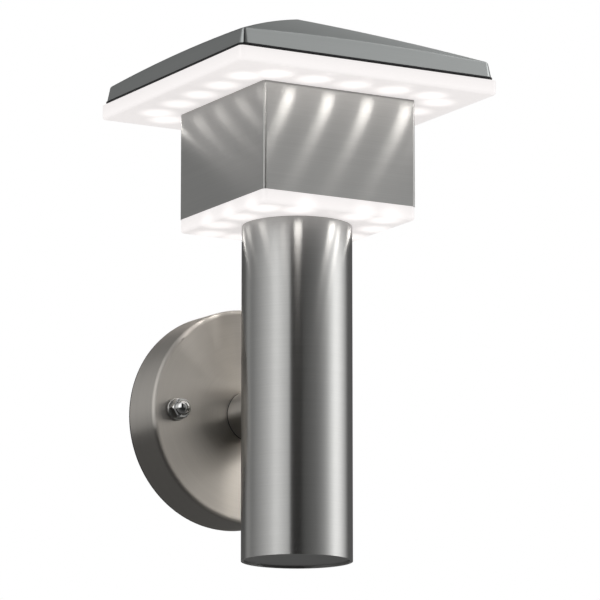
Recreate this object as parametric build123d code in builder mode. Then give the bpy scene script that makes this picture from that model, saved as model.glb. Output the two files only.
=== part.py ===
from build123d import *
import math
import os

# Outdoor LED wall light: a round wall plate, a short stub arm and an upright
# round tube that carries a square head with a pyramid roof.
# Millimetres. +Z is up, the wall is the plane Y = 0 and the light stands out
# from it towards -Y. The origin is the centre of the plate, on the wall.

# ---- Driving dimensions -------------------------------------------------

# Wall side. Distances are measured from the wall, towards the viewer.
plate_radius = 60.0
plate_side_radius = 59.4
plate_face = 28.0
plate_shoulder_radius = 2.8
plate_sheet = 1.2
gasket_thickness = 1.5
gasket_width = 4.0
bracket_length = 106.0
bracket_width = 20.0
bracket_sheet = 2.0
stud_offset = 45.6
stud_radius = 3.0
stud_length_in_nut = 6.5
stud_tip_chamfer = 0.6
stud_seal_radius = 5.6
stud_washer_radius = 6.0
stud_washer_height = 1.2
dome_nut_flats = 10.0
dome_nut_hex = 5.0
dome_radius = 4.7
slot_offset = 26.0
slot_length = 18.0
slot_width = 5.2
earth_screw_radius = 3.5
earth_screw_height = 2.4
earth_screw_cross = 6.0
earth_screw_cross_width = 0.9
earth_screw_cross_depth = 1.2

# Terminal block.
block_width = 26.0
block_height = 15.0
block_back = 11.5
block_top = -22.0
block_corner = 1.0
terminal_pitch = 8.0
terminal_bore_radius = 2.2
terminal_bore_depth = 3.0
terminal_screw_radius = 1.7
terminal_screw_height = 2.0
terminal_slot_length = 3.6
terminal_slot_width = 0.6
terminal_slot_depth = 0.8

# Tube and arm. Heights are measured from the tube's lower edge.
tube_axis_distance = 80.5
tube_radius = 30.0
tube_sheet = 1.5
tube_height = 190.0
arm_height = 86.0
arm_radius = 14.0
arm_sheet = 2.0
arm_reach_in_tube = 20.0
end_cap_recess = 1.2
end_cap_height = 10.0
end_cap_edge_radius = 0.5
bridge_base = 182.0
bridge_thickness = 3.0

# Hollow threaded tubes (M10 x 1) that clamp the parts and carry the cable.
nipple_radius = 5.0
nipple_bore_radius = 3.5
nipple_nut_flats = 14.0
nipple_nut_height = 4.0
nipple_washer_radius = 10.0
nipple_washer_height = 1.5
nipple_stand_out = 0.5
saddle_radius = 10.0
saddle_depth = 8.0
saddle_face_from_axis = 24.0

# Head.
box_half = 47.0
box_sheet = 1.0
box_corner_radius = 1.6
box_top = 249.0
base_plate_sheet = 2.0
lower_diffuser_height = 7.5
lower_diffuser_wall = 2.5
upper_diffuser_half = 79.2
upper_diffuser_height = 8.0
upper_diffuser_wall = 5.0
upper_diffuser_opening = 41.0
diffuser_floor = 2.0
diffuser_corner_radius = 2.5
diffuser_edge_radius = 1.6
diffuser_inner_corner_radius = 1.5
seal_thickness = 0.8
seal_setback = 0.2
carrier_half = 75.8
carrier_sheet = 1.5

# Screws, spacers and driver in the head.
tie_offset = 36.0
tie_radius = 2.0
tie_head_radius = 3.5
tie_head_height = 2.4
tie_head_edge_radius = 0.9
spacer_radius = 3.5
weld_nut_flats = 7.0
weld_nut_height = 3.2
strap_width = 20.0
strap_thickness = 2.0
strap_clearance = 1.7
lower_boss_offset = 40.0
upper_boss_offset = 69.5
boss_radius = 3.0
boss_screw_radius = 1.4
boss_screw_depth = 4.0
screw_head_radius = 2.8
screw_head_height = 2.0
screw_head_edge_radius = 0.8
driver_width = 58.0
driver_depth = 22.0
driver_height = 26.0
driver_y = -28.0
driver_corner_radius = 2.0
driver_edge_radius = 1.0
driver_pad_height = 1.0
driver_pad_inset = 4.0

# Roof.
skirt_half = 78.0
skirt_lean_angle = 12.0
skirt_corner_radius = 4.0
roof_sheet = 1.0
roof_eaves = 269.3
roof_apex = 298.9
roof_curve_radius = 1700.0
hip_radius = 5.0
eaves_edge_radius = 1.8
skirt_run_out = 5.0

# LED boards and their small surface-mounted lamps.
board_thickness = 1.6
led_length = 3.5
led_width = 2.8
led_height = 0.8
lower_board_half = 43.5
upper_board_half = 72.5
upper_board_opening = 44.0
board_corner_cut = 14.0
board_tube_gap = 1.0
board_screw_gap = 0.7
upper_led_ring = 60.0
upper_led_pitch = 24.3
lower_led_ring = 39.0
lower_led_places = ((-33.0, -8.0, 16.0), (-32.0, -15.0, 21.0))
plug_width = 8.0
plug_depth = 6.0
plug_height = 3.6

# Cables.
supply_radius = 2.0
lead_radius = 1.5
earth_wire_radius = 1.0
earth_x = -11.0
earth_turn = -14.0
lead_x = 15.0
led_lead_x = 40.0
led_lead_y = -22.0
supply_distance = 14.0
supply_entry_height = 17.0
lower_lead_exit_height = 9.0

os.makedirs("parts", exist_ok=True)

tube_y = -tube_axis_distance


def level(height, x=0.0, y=0.0):
    """Level plane through the tube's axis, at a height above the tube's lower edge."""
    return Plane(origin=(x, tube_y + y, height - arm_height))


def from_wall(distance, x=0.0, z=0.0):
    """Upright plane parallel to the wall that faces away from it."""
    return Plane(origin=(x, -distance, z), x_dir=(1, 0, 0), z_dir=(0, -1, 0))


def turned_section():
    """Plane for a section that is turned about the Y axis: radius, then distance from the wall."""
    return Plane(origin=(0, 0, 0), x_dir=(1, 0, 0), z_dir=(0, 0, -1))


def hexagon_ring(across_flats, bore_radius):
    """Section of a hexagon nut, drawn in the open sketch."""
    RegularPolygon(across_flats / 2, 6, major_radius=False)
    Circle(bore_radius, mode=Mode.SUBTRACT)


def round_ring(outer_radius, inner_radius):
    """Section of a tube or washer, drawn in the open sketch."""
    Circle(outer_radius)
    Circle(inner_radius, mode=Mode.SUBTRACT)


# ---- Wall bracket and its fasteners --------------------------------------

# Flat steel bar that is screwed to the wall through its two slots.
with BuildPart() as wall_bracket:
    with BuildSketch(from_wall(0)):
        SlotOverall(bracket_length, bracket_width)
        with Locations((-slot_offset, 0), (slot_offset, 0)):
            SlotOverall(slot_length, slot_width, mode=Mode.SUBTRACT)
        with Locations((-stud_offset, 0), (stud_offset, 0)):
            Circle(stud_radius, mode=Mode.SUBTRACT)
    extrude(amount=bracket_sheet)
wall_bracket.part.label = "wall_bracket"
export_step(wall_bracket.part, "parts/wall_bracket.step")

# Two M6 studs pressed into the bar, flush at the back.
dome_nut_seat = plate_face + seal_thickness + stud_washer_height
stud_end = dome_nut_seat + stud_length_in_nut
with BuildPart() as bracket_studs:
    with BuildSketch(from_wall(0)):
        with Locations((-stud_offset, 0), (stud_offset, 0)):
            Circle(stud_radius)
    extrude(amount=stud_end)
    chamfer(bracket_studs.edges().group_by(Axis.Y)[0], stud_tip_chamfer)
bracket_studs.part.label = "bracket_studs"
export_step(bracket_studs.part, "parts/bracket_studs.step")

# Foam ring that seals the plate's edge to the wall.
gasket_radius = plate_radius - 0.3
with BuildPart() as wall_gasket:
    with BuildSketch(from_wall(0)):
        round_ring(gasket_radius, gasket_radius - gasket_width)
    extrude(amount=gasket_thickness)
wall_gasket.part.label = "wall_gasket"
export_step(wall_gasket.part, "parts/wall_gasket.step")

# Spun wall plate: a shallow cup with a rounded shoulder, holed for the arm and the studs.
with BuildPart() as wall_plate:
    with BuildSketch(turned_section()) as plate_section:
        with BuildLine():
            Polyline(
                (nipple_radius, plate_face),
                (plate_side_radius, plate_face),
                (plate_radius, gasket_thickness),
                (plate_radius - plate_sheet, gasket_thickness),
                (plate_side_radius - plate_sheet, plate_face - plate_sheet),
                (nipple_radius, plate_face - plate_sheet),
                close=True,
            )
        make_face()
        outer_shoulder = plate_section.vertices().sort_by_distance((plate_side_radius, plate_face, 0))[0]
        fillet(outer_shoulder, plate_shoulder_radius)
        inner_corner = (plate_side_radius - plate_sheet, plate_face - plate_sheet, 0)
        inner_shoulder = plate_section.vertices().sort_by_distance(inner_corner)[0]
        fillet(inner_shoulder, plate_shoulder_radius - plate_sheet)
    revolve(axis=Axis.Y)
    with BuildSketch(from_wall(0)):
        with Locations((-stud_offset, 0), (stud_offset, 0)):
            Circle(stud_radius)
    extrude(amount=plate_face + 1, mode=Mode.SUBTRACT)
wall_plate.part.label = "wall_plate"
export_step(wall_plate.part, "parts/wall_plate.step")

# Rubber seals, washers and dome nuts that hold the plate on the two studs.
with BuildPart() as stud_seals:
    with BuildSketch(from_wall(plate_face)):
        with Locations((-stud_offset, 0), (stud_offset, 0)):
            round_ring(stud_seal_radius, stud_radius)
    extrude(amount=seal_thickness)
stud_seals.part.label = "stud_seals"
export_step(stud_seals.part, "parts/stud_seals.step")

with BuildPart() as stud_washers:
    with BuildSketch(from_wall(plate_face + seal_thickness)):
        with Locations((-stud_offset, 0), (stud_offset, 0)):
            round_ring(stud_washer_radius, stud_radius)
    extrude(amount=stud_washer_height)
    washer_rims = stud_washers.edges().group_by(Axis.Y)[0].sort_by(SortBy.LENGTH)[-2:]
    chamfer(washer_rims, stud_washer_height / 5)
stud_washers.part.label = "stud_washers"
export_step(stud_washers.part, "parts/stud_washers.step")

with BuildPart() as dome_nuts:
    with BuildSketch(from_wall(dome_nut_seat)):
        with Locations((-stud_offset, 0), (stud_offset, 0)):
            RegularPolygon(dome_nut_flats / 2, 6, major_radius=False)
    extrude(amount=dome_nut_hex)
    with Locations(
        (-stud_offset, -dome_nut_seat - dome_nut_hex, 0),
        (stud_offset, -dome_nut_seat - dome_nut_hex, 0),
    ):
        Sphere(dome_radius)
    with BuildSketch(from_wall(dome_nut_seat)):
        with Locations((-stud_offset, 0), (stud_offset, 0)):
            Circle(stud_radius)
    extrude(amount=stud_end - dome_nut_seat, mode=Mode.SUBTRACT)
dome_nuts.part.label = "dome_nuts"
export_step(dome_nuts.part, "parts/dome_nuts.step")

# Earth screw in the bracket, to the left of its centre.
with BuildPart() as earth_screw:
    with BuildSketch(from_wall(bracket_sheet, x=earth_x)):
        Circle(earth_screw_radius)
    extrude(amount=earth_screw_height)
    with BuildSketch(from_wall(bracket_sheet + earth_screw_height, x=earth_x)):
        Rectangle(earth_screw_cross, earth_screw_cross_width)
        Rectangle(earth_screw_cross_width, earth_screw_cross)
    extrude(amount=-earth_screw_cross_depth, mode=Mode.SUBTRACT)
earth_screw.part.label = "earth_screw"
export_step(earth_screw.part, "parts/earth_screw.step")

# ---- Terminal block in the hollow of the plate ---------------------------

# A moulded block fixed to the inside of the plate, with six screws that face the wall.
plate_inside = plate_face - plate_sheet
block_middle = block_top - block_height / 2
terminal_screw_back = block_back + terminal_bore_depth
with BuildPart() as terminal_block:
    with BuildSketch(from_wall(block_back, z=block_middle)):
        RectangleRounded(block_width, block_height, block_corner)
    extrude(amount=plate_inside - block_back)
    with BuildSketch(from_wall(block_back, z=block_middle)):
        with GridLocations(terminal_pitch, terminal_pitch, 3, 2):
            Circle(terminal_bore_radius)
    extrude(amount=terminal_bore_depth, mode=Mode.SUBTRACT)
terminal_block.part.label = "terminal_block"
export_step(terminal_block.part, "parts/terminal_block.step")

with BuildPart() as terminal_screws:
    with BuildSketch(from_wall(terminal_screw_back, z=block_middle)):
        with GridLocations(terminal_pitch, terminal_pitch, 3, 2):
            Circle(terminal_screw_radius)
    extrude(amount=-terminal_screw_height)
    with BuildSketch(from_wall(terminal_screw_back - terminal_screw_height, z=block_middle)):
        with GridLocations(terminal_pitch, terminal_pitch, 3, 2):
            Rectangle(terminal_slot_length, terminal_slot_width)
    extrude(amount=terminal_slot_depth, mode=Mode.SUBTRACT)
terminal_screws.part.label = "terminal_screws"
export_step(terminal_screws.part, "parts/terminal_screws.step")

# ---- Stub arm and the hollow bolt that clamps it -------------------------

tube_bore_radius = tube_radius - tube_sheet
arm_end = tube_axis_distance - arm_reach_in_tube
arm_start = plate_face + seal_thickness
with BuildPart() as stub_arm:
    with BuildSketch(from_wall(arm_start)):
        round_ring(arm_radius, arm_radius - arm_sheet)
    extrude(amount=arm_end - arm_start)
    with BuildSketch(level(0)):
        Circle(tube_radius)
    extrude(amount=tube_height, mode=Mode.SUBTRACT)
stub_arm.part.label = "stub_arm"
export_step(stub_arm.part, "parts/stub_arm.step")

# Rubber ring between the arm and the plate.
with BuildPart() as arm_seal:
    with BuildSketch(from_wall(plate_face)):
        round_ring(arm_radius, arm_radius - arm_sheet)
    extrude(amount=seal_thickness)
arm_seal.part.label = "arm_seal"
export_step(arm_seal.part, "parts/arm_seal.step")

# Curved pad inside the tube, under the inner nut.
saddle_face = tube_axis_distance - saddle_face_from_axis
with BuildPart() as arm_saddle:
    with BuildSketch(from_wall(saddle_face)):
        round_ring(saddle_radius, nipple_radius)
    extrude(amount=-saddle_depth)
    with BuildSketch(level(0)):
        Circle(tube_bore_radius)
    extrude(amount=tube_height, mode=Mode.INTERSECT)
arm_saddle.part.label = "arm_saddle"
export_step(arm_saddle.part, "parts/arm_saddle.step")

with BuildPart() as arm_washer:
    with BuildSketch(from_wall(plate_inside)):
        round_ring(nipple_washer_radius, nipple_radius)
    extrude(amount=-nipple_washer_height)
arm_washer.part.label = "arm_washer"
export_step(arm_washer.part, "parts/arm_washer.step")

plate_nut_seat = plate_inside - nipple_washer_height
with BuildPart() as arm_plate_nut:
    with BuildSketch(from_wall(plate_nut_seat)):
        hexagon_ring(nipple_nut_flats, nipple_radius)
    extrude(amount=-nipple_nut_height)
arm_plate_nut.part.label = "arm_plate_nut"
export_step(arm_plate_nut.part, "parts/arm_plate_nut.step")

with BuildPart() as arm_tube_nut:
    with BuildSketch(from_wall(saddle_face)):
        hexagon_ring(nipple_nut_flats, nipple_radius)
    extrude(amount=nipple_nut_height)
arm_tube_nut.part.label = "arm_tube_nut"
export_step(arm_tube_nut.part, "parts/arm_tube_nut.step")

arm_nipple_start = plate_nut_seat - nipple_nut_height - nipple_stand_out
arm_nipple_end = saddle_face + nipple_nut_height + nipple_stand_out
with BuildPart() as arm_nipple:
    with BuildSketch(from_wall(arm_nipple_start)):
        round_ring(nipple_radius, nipple_bore_radius)
    extrude(amount=arm_nipple_end - arm_nipple_start)
arm_nipple.part.label = "arm_nipple"
export_step(arm_nipple.part, "parts/arm_nipple.step")

# ---- Upright tube --------------------------------------------------------

with BuildPart() as main_tube:
    with BuildSketch(level(0)):
        round_ring(tube_radius, tube_bore_radius)
    extrude(amount=tube_height)
    with BuildSketch(from_wall(plate_face)):
        Circle(nipple_radius)
    extrude(amount=arm_end - plate_face, mode=Mode.SUBTRACT)
main_tube.part.label = "main_tube"
export_step(main_tube.part, "parts/main_tube.step")

# Pressed cap in the tube's lower end, set in a little from the edge.
with BuildPart() as tube_end_cap:
    with BuildSketch(level(end_cap_recess)):
        Circle(tube_bore_radius)
    extrude(amount=end_cap_height)
    fillet(tube_end_cap.edges().group_by(Axis.Z)[0], end_cap_edge_radius)
    with BuildSketch(level(end_cap_recess + tube_sheet)):
        Circle(tube_bore_radius - tube_sheet)
    extrude(amount=end_cap_height, mode=Mode.SUBTRACT)
tube_end_cap.part.label = "tube_end_cap"
export_step(tube_end_cap.part, "parts/tube_end_cap.step")

# Disc welded across the tube near its top, drilled for the upper hollow bolt.
with BuildPart() as tube_bridge:
    with BuildSketch(level(bridge_base)):
        round_ring(tube_bore_radius, nipple_radius)
    extrude(amount=bridge_thickness)
tube_bridge.part.label = "tube_bridge"
export_step(tube_bridge.part, "parts/tube_bridge.step")

base_plate_top = tube_height + base_plate_sheet
head_nut_seat = base_plate_top + nipple_washer_height
with BuildPart() as tube_nipple:
    with BuildSketch(level(bridge_base - nipple_nut_height - nipple_stand_out)):
        round_ring(nipple_radius, nipple_bore_radius)
    extrude(amount=head_nut_seat - bridge_base + 2 * (nipple_nut_height + nipple_stand_out))
tube_nipple.part.label = "tube_nipple"
export_step(tube_nipple.part, "parts/tube_nipple.step")

with BuildPart() as tube_lower_nut:
    with BuildSketch(level(bridge_base)):
        hexagon_ring(nipple_nut_flats, nipple_radius)
    extrude(amount=-nipple_nut_height)
tube_lower_nut.part.label = "tube_lower_nut"
export_step(tube_lower_nut.part, "parts/tube_lower_nut.step")

with BuildPart() as tube_upper_washer:
    with BuildSketch(level(base_plate_top)):
        round_ring(nipple_washer_radius, nipple_radius)
    extrude(amount=nipple_washer_height)
tube_upper_washer.part.label = "tube_upper_washer"
export_step(tube_upper_washer.part, "parts/tube_upper_washer.step")

with BuildPart() as tube_upper_nut:
    with BuildSketch(level(head_nut_seat)):
        hexagon_ring(nipple_nut_flats, nipple_radius)
    extrude(amount=nipple_nut_height)
tube_upper_nut.part.label = "tube_upper_nut"
export_step(tube_upper_nut.part, "parts/tube_upper_nut.step")

# ---- Head box and base plate ---------------------------------------------

inner_half = box_half - box_sheet

# Square sleeve folded from one brushed sheet.
with BuildPart() as head_box:
    with BuildSketch(level(tube_height)):
        RectangleRounded(2 * box_half, 2 * box_half, box_corner_radius)
        RectangleRounded(2 * inner_half, 2 * inner_half, box_corner_radius - box_sheet, mode=Mode.SUBTRACT)
    extrude(amount=box_top - tube_height)
head_box.part.label = "head_box"
export_step(head_box.part, "parts/head_box.step")

# Plate in the foot of the box, on which the tube, the lower lights and the driver are fixed.
with BuildPart() as base_plate:
    with BuildSketch(level(tube_height)):
        RectangleRounded(2 * inner_half, 2 * inner_half, box_corner_radius - box_sheet)
        Circle(nipple_radius, mode=Mode.SUBTRACT)
        with Locations((-tie_offset, 0), (tie_offset, 0)):
            Circle(tie_radius, mode=Mode.SUBTRACT)
        with GridLocations(2 * lower_boss_offset, 2 * lower_boss_offset, 2, 2):
            Circle(boss_screw_radius, mode=Mode.SUBTRACT)
        with Locations((led_lead_x, led_lead_y)):
            Circle(lead_radius, mode=Mode.SUBTRACT)
    extrude(amount=base_plate_sheet)
base_plate.part.label = "base_plate"
export_step(base_plate.part, "parts/base_plate.step")

# ---- Lower light ring ----------------------------------------------------

# Opal tray with a round opening for the tube and four screw bosses.
lower_diffuser_base = tube_height - lower_diffuser_height
lower_inner_half = box_half - lower_diffuser_wall
with BuildPart() as lower_diffuser:
    with BuildSketch(level(lower_diffuser_base)):
        RectangleRounded(2 * box_half, 2 * box_half, diffuser_corner_radius)
    extrude(amount=lower_diffuser_height)
    fillet(lower_diffuser.edges().group_by(Axis.Z)[0], diffuser_edge_radius)
    with BuildSketch(level(lower_diffuser_base + diffuser_floor)):
        RectangleRounded(2 * lower_inner_half, 2 * lower_inner_half, diffuser_inner_corner_radius)
    extrude(amount=lower_diffuser_height, mode=Mode.SUBTRACT)
    with BuildSketch(level(lower_diffuser_base + diffuser_floor)):
        with GridLocations(2 * lower_boss_offset, 2 * lower_boss_offset, 2, 2):
            Circle(boss_radius)
    extrude(amount=lower_diffuser_height - diffuser_floor)
    with BuildSketch(level(tube_height)):
        with GridLocations(2 * lower_boss_offset, 2 * lower_boss_offset, 2, 2):
            Circle(boss_screw_radius)
    extrude(amount=-boss_screw_depth, mode=Mode.SUBTRACT)
    with BuildSketch(level(lower_diffuser_base)):
        Circle(tube_radius)
    extrude(amount=lower_diffuser_height, mode=Mode.SUBTRACT)
lower_diffuser.part.label = "lower_diffuser"
export_step(lower_diffuser.part, "parts/lower_diffuser.step")

# Pan-head screws, from inside the box down into the bosses.
with BuildPart() as lower_diffuser_screws:
    with BuildSketch(level(base_plate_top)):
        with GridLocations(2 * lower_boss_offset, 2 * lower_boss_offset, 2, 2):
            Circle(screw_head_radius)
    extrude(amount=screw_head_height)
    fillet(lower_diffuser_screws.edges().group_by(Axis.Z)[-1], screw_head_edge_radius)
    with BuildSketch(level(base_plate_top)):
        with GridLocations(2 * lower_boss_offset, 2 * lower_boss_offset, 2, 2):
            Circle(boss_screw_radius)
    extrude(amount=-base_plate_sheet - boss_screw_depth)
lower_diffuser_screws.part.label = "lower_diffuser_screws"
export_step(lower_diffuser_screws.part, "parts/lower_diffuser_screws.step")

# Circuit board under the base plate, cut away for the tube, the tie screws and the bosses.
lower_board_base = tube_height - board_thickness
with BuildPart() as lower_led_board:
    with BuildSketch(level(lower_board_base)):
        Rectangle(2 * lower_board_half, 2 * lower_board_half)
        Circle(tube_radius + board_tube_gap, mode=Mode.SUBTRACT)
        with Locations((-tie_offset, 0), (tie_offset, 0)):
            Circle(tie_head_radius + board_screw_gap, mode=Mode.SUBTRACT)
        with GridLocations(2 * lower_board_half, 2 * lower_board_half, 2, 2):
            Rectangle(board_corner_cut, board_corner_cut, mode=Mode.SUBTRACT)
    extrude(amount=board_thickness)
lower_led_board.part.label = "lower_led_board"
export_step(lower_led_board.part, "parts/lower_led_board.step")

# Twelve LEDs, three along each side, unevenly spaced: opposite sides are alike.
with BuildPart() as lower_leds:
    for side in range(4):
        for along in lower_led_places[side % 2]:
            turn = math.radians(90 * side)
            led_x = -lower_led_ring * math.cos(turn) - along * math.sin(turn)
            led_y = -lower_led_ring * math.sin(turn) + along * math.cos(turn)
            with BuildSketch(level(lower_board_base, x=led_x, y=led_y)):
                Rectangle(led_width, led_length, rotation=90 * side)
            extrude(amount=-led_height)
lower_leds.part.label = "lower_leds"
export_step(lower_leds.part, "parts/lower_leds.step")

# ---- Ties, spacers and driver inside the box -----------------------------

carrier_base = box_top + upper_diffuser_height + seal_thickness
carrier_top = carrier_base + carrier_sheet

with BuildPart() as head_spacers:
    with BuildSketch(level(base_plate_top)):
        with Locations((-tie_offset, 0), (tie_offset, 0)):
            round_ring(spacer_radius, tie_radius)
    extrude(amount=carrier_base - base_plate_top)
head_spacers.part.label = "head_spacers"
export_step(head_spacers.part, "parts/head_spacers.step")

# Two long screws that tie the base plate to the nuts on the strap in the roof.
strap_base = carrier_top + strap_clearance
strap_top = strap_base + strap_thickness
tie_tip = strap_top + weld_nut_height + 1.0
with BuildPart() as tie_screws:
    with BuildSketch(level(tube_height)):
        with Locations((-tie_offset, 0), (tie_offset, 0)):
            Circle(tie_head_radius)
    extrude(amount=-tie_head_height)
    fillet(tie_screws.edges().group_by(Axis.Z)[0], tie_head_edge_radius)
    with BuildSketch(level(tube_height)):
        with Locations((-tie_offset, 0), (tie_offset, 0)):
            Circle(tie_radius)
    extrude(amount=tie_tip - tube_height)
tie_screws.part.label = "tie_screws"
export_step(tie_screws.part, "parts/tie_screws.step")

# LED driver, bedded on a silicone pad.
driver_base = base_plate_top + driver_pad_height
with BuildPart() as driver_pad:
    with BuildSketch(level(base_plate_top, y=driver_y)):
        Rectangle(driver_width - 2 * driver_pad_inset, driver_depth - driver_pad_inset)
    extrude(amount=driver_pad_height)
driver_pad.part.label = "driver_pad"
export_step(driver_pad.part, "parts/driver_pad.step")

with BuildPart() as led_driver:
    with BuildSketch(level(driver_base, y=driver_y)):
        RectangleRounded(driver_width, driver_depth, driver_corner_radius)
    extrude(amount=driver_height)
    fillet(led_driver.edges().group_by(Axis.Z)[-1], driver_edge_radius)
led_driver.part.label = "led_driver"
export_step(led_driver.part, "parts/led_driver.step")

# ---- Upper light ring ----------------------------------------------------

# Wider opal tray with a square opening for the box's cables and ties, and four screw bosses.
upper_inner_half = upper_diffuser_half - upper_diffuser_wall
with BuildPart() as upper_diffuser:
    with BuildSketch(level(box_top)):
        RectangleRounded(2 * upper_diffuser_half, 2 * upper_diffuser_half, diffuser_corner_radius)
    extrude(amount=upper_diffuser_height)
    fillet(upper_diffuser.edges().group_by(Axis.Z)[0], diffuser_edge_radius)
    with BuildSketch(level(box_top + diffuser_floor)):
        Rectangle(2 * upper_inner_half, 2 * upper_inner_half)
    extrude(amount=upper_diffuser_height, mode=Mode.SUBTRACT)
    with BuildSketch(level(box_top + diffuser_floor)):
        with GridLocations(2 * upper_boss_offset, 2 * upper_boss_offset, 2, 2):
            Circle(boss_radius)
    extrude(amount=upper_diffuser_height + seal_thickness - diffuser_floor)
    with BuildSketch(level(carrier_base)):
        with GridLocations(2 * upper_boss_offset, 2 * upper_boss_offset, 2, 2):
            Circle(boss_screw_radius)
    extrude(amount=-boss_screw_depth, mode=Mode.SUBTRACT)
    with BuildSketch(level(box_top)):
        Rectangle(2 * upper_diffuser_opening, 2 * upper_diffuser_opening)
    extrude(amount=diffuser_floor, mode=Mode.SUBTRACT)
upper_diffuser.part.label = "upper_diffuser"
export_step(upper_diffuser.part, "parts/upper_diffuser.step")

# Flat rubber seal on the tray's rim, under the roof's edge and the carrier plate.
seal_half = skirt_half - seal_setback
with BuildPart() as roof_seal:
    with BuildSketch(level(box_top + upper_diffuser_height)):
        RectangleRounded(2 * seal_half, 2 * seal_half, skirt_corner_radius)
        Rectangle(2 * upper_inner_half, 2 * upper_inner_half, mode=Mode.SUBTRACT)
    extrude(amount=seal_thickness)
roof_seal.part.label = "roof_seal"
export_step(roof_seal.part, "parts/roof_seal.step")

# Aluminium plate that carries the upper board and spreads its heat.
with BuildPart() as carrier_plate:
    with BuildSketch(level(carrier_base)):
        RectangleRounded(2 * carrier_half, 2 * carrier_half, skirt_corner_radius)
        with Locations((-tie_offset, 0), (tie_offset, 0)):
            Circle(tie_radius, mode=Mode.SUBTRACT)
        with GridLocations(2 * upper_boss_offset, 2 * upper_boss_offset, 2, 2):
            Circle(boss_screw_radius, mode=Mode.SUBTRACT)
    extrude(amount=carrier_sheet)
carrier_plate.part.label = "carrier_plate"
export_step(carrier_plate.part, "parts/carrier_plate.step")

with BuildPart() as upper_diffuser_screws:
    with BuildSketch(level(carrier_top)):
        with GridLocations(2 * upper_boss_offset, 2 * upper_boss_offset, 2, 2):
            Circle(screw_head_radius)
    extrude(amount=screw_head_height)
    fillet(upper_diffuser_screws.edges().group_by(Axis.Z)[-1], screw_head_edge_radius)
    with BuildSketch(level(carrier_top)):
        with GridLocations(2 * upper_boss_offset, 2 * upper_boss_offset, 2, 2):
            Circle(boss_screw_radius)
    extrude(amount=-carrier_sheet - boss_screw_depth)
upper_diffuser_screws.part.label = "upper_diffuser_screws"
export_step(upper_diffuser_screws.part, "parts/upper_diffuser_screws.step")

# Square ring of circuit board under the carrier plate.
upper_board_base = carrier_base - board_thickness
with BuildPart() as upper_led_board:
    with BuildSketch(level(upper_board_base)):
        Rectangle(2 * upper_board_half, 2 * upper_board_half)
        Rectangle(2 * upper_board_opening, 2 * upper_board_opening, mode=Mode.SUBTRACT)
        with GridLocations(2 * upper_board_half, 2 * upper_board_half, 2, 2):
            Rectangle(board_corner_cut, board_corner_cut, mode=Mode.SUBTRACT)
    extrude(amount=board_thickness)
upper_led_board.part.label = "upper_led_board"
export_step(upper_led_board.part, "parts/upper_led_board.step")

# Twenty LEDs, five along each side.
with BuildPart() as upper_leds:
    for side in range(4):
        for step in (-2, -1, 0, 1, 2):
            along = step * upper_led_pitch
            turn = math.radians(90 * side)
            led_x = -upper_led_ring * math.cos(turn) - along * math.sin(turn)
            led_y = -upper_led_ring * math.sin(turn) + along * math.cos(turn)
            with BuildSketch(level(upper_board_base, x=led_x, y=led_y)):
                Rectangle(led_width, led_length, rotation=90 * side)
            extrude(amount=-led_height)
upper_leds.part.label = "upper_leds"
export_step(upper_leds.part, "parts/upper_leds.step")

# Plug on the upper board for the driver's lead.
with BuildPart() as board_plug:
    with BuildSketch(level(upper_board_base, x=lead_x, y=-upper_board_opening - plug_depth / 2)):
        Rectangle(plug_width, plug_depth)
    extrude(amount=-plug_height)
board_plug.part.label = "board_plug"
export_step(board_plug.part, "parts/board_plug.step")

# ---- Roof ----------------------------------------------------------------

# Each of the four roof faces is part of a large ball that passes through the
# middle of its eaves and through the apex, so faces, hips and eaves all swell a little.
skirt_base = carrier_base
eaves_half = skirt_half - (roof_eaves - skirt_base) * math.tan(math.radians(skirt_lean_angle))
slope_length = math.hypot(eaves_half, roof_apex - roof_eaves)
ball_depth = math.sqrt(roof_curve_radius**2 - (slope_length / 2) ** 2)
ball_offset = ball_depth * (roof_apex - roof_eaves) / slope_length - eaves_half / 2
ball_height = (roof_apex + roof_eaves) / 2 - ball_depth * eaves_half / slope_length


def roof_form(inset):
    """Solid outline of the roof, set in by the sheet's thickness or not at all."""
    half = skirt_half - inset
    with BuildSketch(level(skirt_base)) as skirt_section:
        RectangleRounded(2 * half, 2 * half, skirt_corner_radius - inset)
    extrude(skirt_section.sketch, amount=roof_apex - skirt_base + skirt_run_out, taper=skirt_lean_angle)
    for side in range(4):
        turn = math.radians(90 * side)
        ball_x = ball_offset * math.cos(turn)
        ball_y = tube_y + ball_offset * math.sin(turn)
        with Locations((ball_x, ball_y, ball_height - arm_height)):
            Sphere(roof_curve_radius - inset, rotation=(0, 0, 90 * side), mode=Mode.INTERSECT)


with BuildPart() as roof_hollow:
    roof_form(roof_sheet)

# The hips have their middles well above the eaves; the eaves lie within eaves_band of their height.
eaves_band = 4.0
eaves_level = roof_eaves - arm_height
with BuildPart() as roof_cap:
    roof_form(0)
    hips = roof_cap.edges().filter_by(lambda e: e.center().Z > eaves_level + eaves_band)
    fillet(hips, hip_radius)
    eaves = roof_cap.edges().filter_by(
        lambda e: abs(e.center().Z - eaves_level) < eaves_band and e.bounding_box().size.Z < 1.5 * eaves_band
    )
    fillet(eaves, eaves_edge_radius)
    add(roof_hollow.part, mode=Mode.SUBTRACT)
roof_cap.part.label = "roof_cap"
export_step(roof_cap.part, "parts/roof_cap.step")

# Strap welded across the inside of the roof, and the two nuts welded on it.
with BuildPart() as roof_strap:
    with BuildSketch(level(strap_base)):
        Rectangle(2 * skirt_half, strap_width)
        with Locations((-tie_offset, 0), (tie_offset, 0)):
            Circle(tie_radius, mode=Mode.SUBTRACT)
    extrude(amount=strap_thickness)
    add(roof_hollow.part, mode=Mode.INTERSECT)
roof_strap.part.label = "roof_strap"
export_step(roof_strap.part, "parts/roof_strap.step")

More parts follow.
